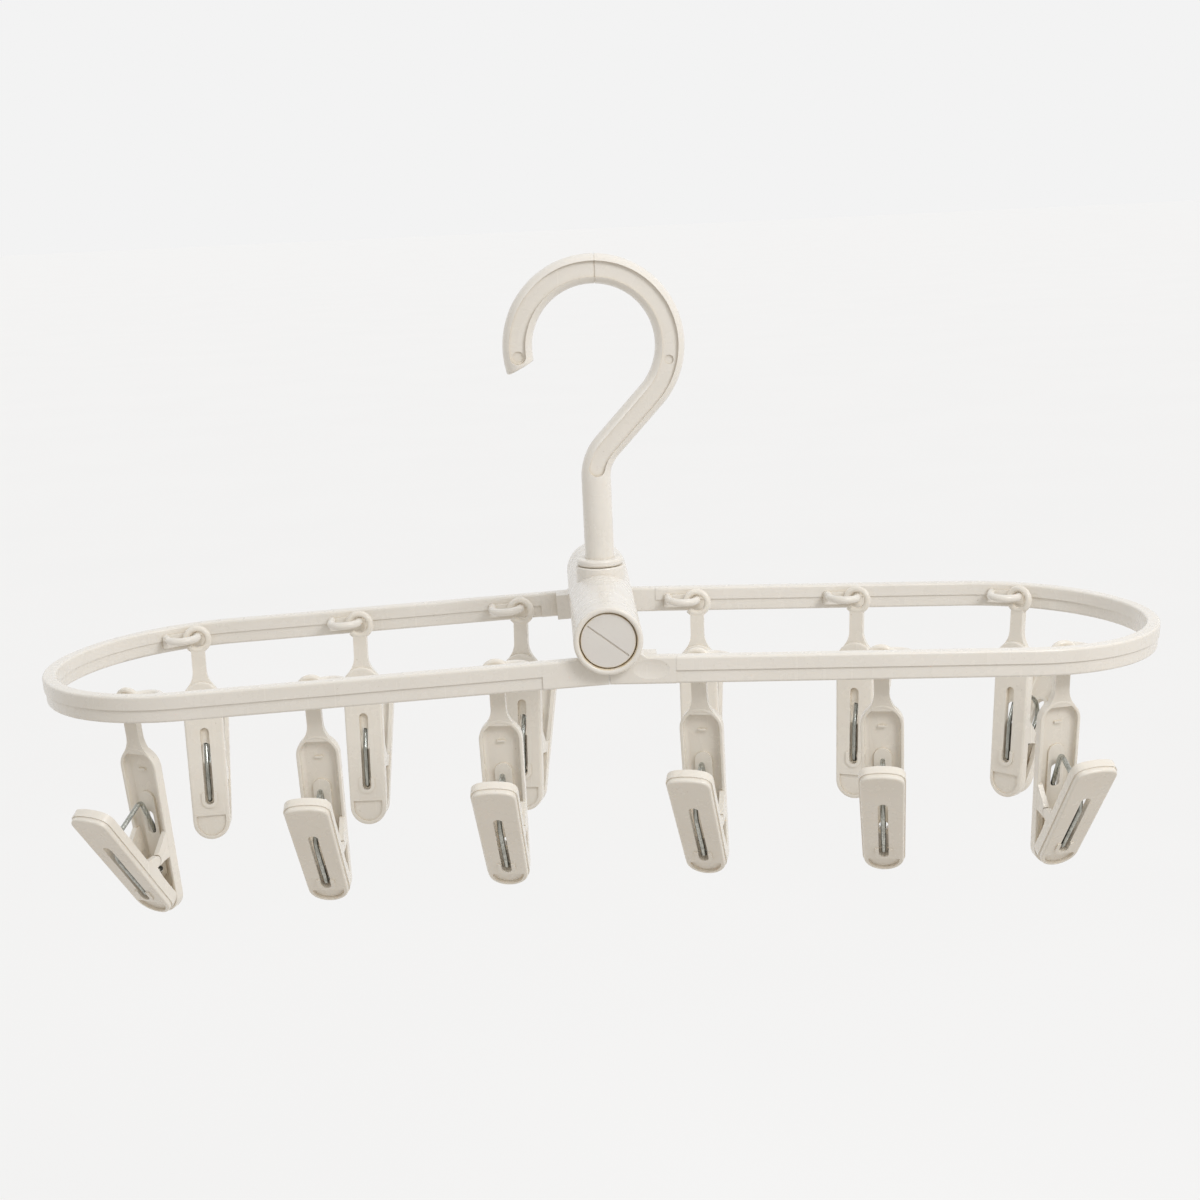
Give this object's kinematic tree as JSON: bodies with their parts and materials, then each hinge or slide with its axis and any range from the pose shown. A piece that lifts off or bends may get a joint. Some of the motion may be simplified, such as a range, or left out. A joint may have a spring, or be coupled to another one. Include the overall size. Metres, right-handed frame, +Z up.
{
  "type": "clip drying hanger",
  "caption": "Folding clip hanger: a swivelling hook over a round hub, two U-shaped arms that fold up, and spring clips hung on eyelets.",
  "frame": {"origin": "highest point of the inner arc of the hook, where the rail carries the hanger", "axes": "+Z up, X along the two arms, -Y towards the side that carries the head of the axle"},
  "size_m": [0.3992, 0.1498, 0.2175],
  "materials": {
    "white_plastic": "satin white moulded plastic",
    "clip_plastic": "satin white moulded plastic",
    "axle_plastic": "satin off-white moulded plastic",
    "spring_wire": "zinc-plated spring wire"
  },
  "bodies": {
    "hook": {"hook": "white_plastic", "hook_retainer": "white_plastic"},
    "hub": {"hub_housing": "white_plastic", "pivot_axle": "axle_plastic", "axle_cap": "axle_plastic"},
    "left_arm": {"left_arm_rail": "white_plastic", "left_front_bracket": "white_plastic", "left_rear_bracket": "white_plastic"},
    "right_arm": {"right_arm_rail": "white_plastic", "right_front_bracket": "white_plastic", "right_rear_bracket": "white_plastic"},
    "front_left_outer_clip": {"front_left_outer_jaw": "clip_plastic", "front_left_outer_spring": "spring_wire"},
    "front_left_outer_clip_lever": {"front_left_outer_lever": "clip_plastic"},
    "front_left_middle_clip": {"front_left_middle_jaw": "clip_plastic", "front_left_middle_spring": "spring_wire"},
    "front_left_middle_clip_lever": {"front_left_middle_lever": "clip_plastic"},
    "front_left_inner_clip": {"front_left_inner_jaw": "clip_plastic", "front_left_inner_spring": "spring_wire"},
    "front_left_inner_clip_lever": {"front_left_inner_lever": "clip_plastic"},
    "front_right_inner_clip": {"front_right_inner_jaw": "clip_plastic", "front_right_inner_spring": "spring_wire"},
    "front_right_inner_clip_lever": {"front_right_inner_lever": "clip_plastic"},
    "front_right_middle_clip": {"front_right_middle_jaw": "clip_plastic", "front_right_middle_spring": "spring_wire"},
    "front_right_middle_clip_lever": {"front_right_middle_lever": "clip_plastic"},
    "front_right_outer_clip": {"front_right_outer_jaw": "clip_plastic", "front_right_outer_spring": "spring_wire"},
    "front_right_outer_clip_lever": {"front_right_outer_lever": "clip_plastic"},
    "rear_left_outer_clip": {"rear_left_outer_jaw": "clip_plastic", "rear_left_outer_spring": "spring_wire"},
    "rear_left_outer_clip_lever": {"rear_left_outer_lever": "clip_plastic"},
    "rear_left_middle_clip": {"rear_left_middle_jaw": "clip_plastic", "rear_left_middle_spring": "spring_wire"},
    "rear_left_middle_clip_lever": {"rear_left_middle_lever": "clip_plastic"},
    "rear_left_inner_clip": {"rear_left_inner_jaw": "clip_plastic", "rear_left_inner_spring": "spring_wire"},
    "rear_left_inner_clip_lever": {"rear_left_inner_lever": "clip_plastic"},
    "rear_right_inner_clip": {"rear_right_inner_jaw": "clip_plastic", "rear_right_inner_spring": "spring_wire"},
    "rear_right_inner_clip_lever": {"rear_right_inner_lever": "clip_plastic"},
    "rear_right_middle_clip": {"rear_right_middle_jaw": "clip_plastic", "rear_right_middle_spring": "spring_wire"},
    "rear_right_middle_clip_lever": {"rear_right_middle_lever": "clip_plastic"},
    "rear_right_outer_clip": {"rear_right_outer_jaw": "clip_plastic", "rear_right_outer_spring": "spring_wire"},
    "rear_right_outer_clip_lever": {"rear_right_outer_lever": "clip_plastic"}
  },
  "joints": [
    {"name": "hub_swivel", "type": "hinge", "parent": "hook", "child": "hub", "pos_m": [-0.0012, 0, -0.094], "axis": [0, 0, 1], "continuous": true},
    {"name": "left_arm_fold", "type": "hinge", "parent": "hub", "child": "left_arm", "pos_m": [-0.0012, 0, -0.1128], "axis": [0, 1, 0], "range_deg": [0, 90]},
    {"name": "right_arm_fold", "type": "hinge", "parent": "hub", "child": "right_arm", "pos_m": [-0.0012, 0, -0.1128], "axis": [0, -1, 0], "range_deg": [0, 90]},
    {"name": "front_left_outer_swing", "type": "hinge", "parent": "left_arm", "child": "front_left_outer_clip", "pos_m": [-0.16291, -0.04303, -0.12845], "axis": [0.3088, 0.9511, 0.0108], "range_deg": [-30, 30]},
    {"name": "front_left_outer_press", "type": "hinge", "parent": "front_left_outer_clip", "child": "front_left_outer_clip_lever", "pos_m": [-0.164, -0.04514, -0.18491], "axis": [-0.8894, 0.4571, 0], "range_deg": [0, 24], "stiffness_Nm_per_rad": 0.12, "springref_deg": -28.65, "deforming": ["front_left_outer_spring"]},
    {"name": "front_left_middle_swing", "type": "hinge", "parent": "left_arm", "child": "front_left_middle_clip", "pos_m": [-0.10089, -0.047, -0.12629], "axis": [0, 1, 0], "range_deg": [-30, 30]},
    {"name": "front_left_middle_press", "type": "hinge", "parent": "front_left_middle_clip", "child": "front_left_middle_clip_lever", "pos_m": [-0.10103, -0.04937, -0.18274], "axis": [-0.9981, 0.061, 0], "range_deg": [0, 24], "stiffness_Nm_per_rad": 0.12, "springref_deg": -28.65, "deforming": ["front_left_middle_spring"]},
    {"name": "front_left_inner_swing", "type": "hinge", "parent": "left_arm", "child": "front_left_inner_clip", "pos_m": [-0.03893, -0.047, -0.12412], "axis": [0, 1, 0], "range_deg": [-30, 30]},
    {"name": "front_left_inner_press", "type": "hinge", "parent": "front_left_inner_clip", "child": "front_left_inner_clip_lever", "pos_m": [-0.03915, -0.04936, -0.18058], "axis": [-0.9957, 0.0924, 0], "range_deg": [0, 24], "stiffness_Nm_per_rad": 0.12, "springref_deg": -28.65, "deforming": ["front_left_inner_spring"]},
    {"name": "front_right_inner_swing", "type": "hinge", "parent": "right_arm", "child": "front_right_inner_clip", "pos_m": [0.02903, -0.047, -0.12386], "axis": [0, 1, 0], "range_deg": [-30, 30]},
    {"name": "front_right_inner_press", "type": "hinge", "parent": "front_right_inner_clip", "child": "front_right_inner_clip_lever", "pos_m": [0.02843, -0.04929, -0.18032], "axis": [-0.9677, 0.2521, 0], "range_deg": [0, 24], "stiffness_Nm_per_rad": 0.12, "springref_deg": -28.65, "deforming": ["front_right_inner_spring"]},
    {"name": "front_right_middle_swing", "type": "hinge", "parent": "right_arm", "child": "front_right_middle_clip", "pos_m": [0.091, -0.047, -0.12603], "axis": [0, 1, 0], "range_deg": [-30, 30]},
    {"name": "front_right_middle_press", "type": "hinge", "parent": "front_right_middle_clip", "child": "front_right_middle_clip_lever", "pos_m": [0.09056, -0.04933, -0.18248], "axis": [-0.9829, 0.184, 0], "range_deg": [0, 24], "stiffness_Nm_per_rad": 0.12, "springref_deg": -28.65, "deforming": ["front_right_middle_spring"]},
    {"name": "front_right_outer_swing", "type": "hinge", "parent": "right_arm", "child": "front_right_outer_clip", "pos_m": [0.15306, -0.04571, -0.12819], "axis": [-0.3663, 0.9304, 0.0128], "range_deg": [-30, 30]},
    {"name": "front_right_outer_press", "type": "hinge", "parent": "front_right_outer_clip", "child": "front_right_outer_clip_lever", "pos_m": [0.15349, -0.04804, -0.18465], "axis": [-0.9829, -0.184, 0], "range_deg": [0, 24], "stiffness_Nm_per_rad": 0.12, "springref_deg": -28.65, "deforming": ["front_right_outer_spring"]},
    {"name": "rear_left_outer_swing", "type": "hinge", "parent": "left_arm", "child": "rear_left_outer_clip", "pos_m": [-0.15546, 0.04571, -0.12819], "axis": [0.3663, -0.9304, 0.0128], "range_deg": [-30, 30]},
    {"name": "rear_left_outer_press", "type": "hinge", "parent": "rear_left_outer_clip", "child": "rear_left_outer_clip_lever", "pos_m": [-0.15571, 0.04807, -0.18465], "axis": [0.9942, 0.108, 0], "range_deg": [0, 24], "stiffness_Nm_per_rad": 0.12, "springref_deg": -28.65, "deforming": ["rear_left_outer_spring"]},
    {"name": "rear_left_middle_swing", "type": "hinge", "parent": "left_arm", "child": "rear_left_middle_clip", "pos_m": [-0.0934, 0.047, -0.12603], "axis": [0, -1, 0], "range_deg": [-30, 30]},
    {"name": "rear_left_middle_press", "type": "hinge", "parent": "rear_left_middle_clip", "child": "rear_left_middle_clip_lever", "pos_m": [-0.09324, 0.04937, -0.18248], "axis": [0.9978, -0.0663, 0], "range_deg": [0, 24], "stiffness_Nm_per_rad": 0.12, "springref_deg": -28.65, "deforming": ["rear_left_middle_spring"]},
    {"name": "rear_left_inner_swing", "type": "hinge", "parent": "left_arm", "child": "rear_left_inner_clip", "pos_m": [-0.03143, 0.047, -0.12386], "axis": [0, -1, 0], "range_deg": [-30, 30]},
    {"name": "rear_left_inner_press", "type": "hinge", "parent": "rear_left_inner_clip", "child": "rear_left_inner_clip_lever", "pos_m": [-0.03094, 0.04932, -0.18032], "axis": [0.9778, -0.2096, 0], "range_deg": [0, 24], "stiffness_Nm_per_rad": 0.12, "springref_deg": -28.65, "deforming": ["rear_left_inner_spring"]},
    {"name": "rear_right_inner_swing", "type": "hinge", "parent": "right_arm", "child": "rear_right_inner_clip", "pos_m": [0.03653, 0.047, -0.12412], "axis": [0, -1, 0], "range_deg": [-30, 30]},
    {"name": "rear_right_inner_press", "type": "hinge", "parent": "rear_right_inner_clip", "child": "rear_right_inner_clip_lever", "pos_m": [0.03689, 0.04934, -0.18058], "axis": [0.9882, -0.153, 0], "range_deg": [0, 24], "stiffness_Nm_per_rad": 0.12, "springref_deg": -28.65, "deforming": ["rear_right_inner_spring"]},
    {"name": "rear_right_middle_swing", "type": "hinge", "parent": "right_arm", "child": "rear_right_middle_clip", "pos_m": [0.09849, 0.047, -0.12629], "axis": [0, -1, 0], "range_deg": [-30, 30]},
    {"name": "rear_right_middle_press", "type": "hinge", "parent": "rear_right_middle_clip", "child": "rear_right_middle_clip_lever", "pos_m": [0.09945, 0.04917, -0.18274], "axis": [0.915, -0.4035, 0], "range_deg": [0, 24], "stiffness_Nm_per_rad": 0.12, "springref_deg": -28.65, "deforming": ["rear_right_middle_spring"]},
    {"name": "rear_right_outer_swing", "type": "hinge", "parent": "right_arm", "child": "rear_right_outer_clip", "pos_m": [0.16051, 0.04303, -0.12845], "axis": [-0.3088, -0.9511, 0.0108], "range_deg": [-30, 30]},
    {"name": "rear_right_outer_press", "type": "hinge", "parent": "rear_right_outer_clip", "child": "rear_right_outer_clip_lever", "pos_m": [0.16219, 0.04471, -0.18491], "axis": [0.7071, -0.7071, 0], "range_deg": [0, 24], "stiffness_Nm_per_rad": 0.12, "springref_deg": -28.65, "deforming": ["rear_right_outer_spring"]}
  ]
}
